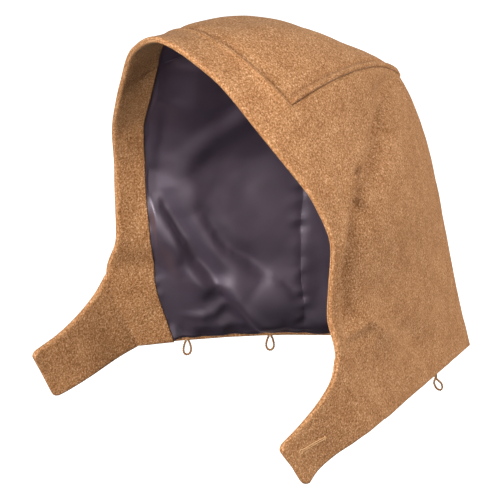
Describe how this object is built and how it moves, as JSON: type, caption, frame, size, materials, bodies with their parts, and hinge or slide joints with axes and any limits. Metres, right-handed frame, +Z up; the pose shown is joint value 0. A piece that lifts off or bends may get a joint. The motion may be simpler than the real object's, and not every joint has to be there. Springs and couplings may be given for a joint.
{
  "type": "detachable hood of a duffle coat",
  "caption": "Detachable wool duffle-coat hood with a deep face opening, chin tabs, a crown panel, satin lining and cord button loops at the neck edge.",
  "frame": {"origin": "where the wearer's head carries the hood: inside the crown, on the centre plane, below the middle of the crown's lining", "axes": "+X to the wearer's left, -Y to the front, out of the face opening, +Z up"},
  "size_m": [0.3362, 0.3641, 0.3658],
  "materials": {
    "wool": "camel brown melton wool, matt, with short felted fibres",
    "satin": "dark aubergine grey satin lining with a soft sheen",
    "cord": "dark brown twisted cord"
  },
  "bodies": {
    "root": {"shell_wrap": "wool", "crown_panel": "wool", "facing": "wool", "lining_right": "satin", "lining_left": "satin", "lining_back": "satin", "lining_crown": "satin", "loop_right_front": "cord", "loop_right_back": "cord", "loop_left_back": "cord"}
  },
  "joints": []
}
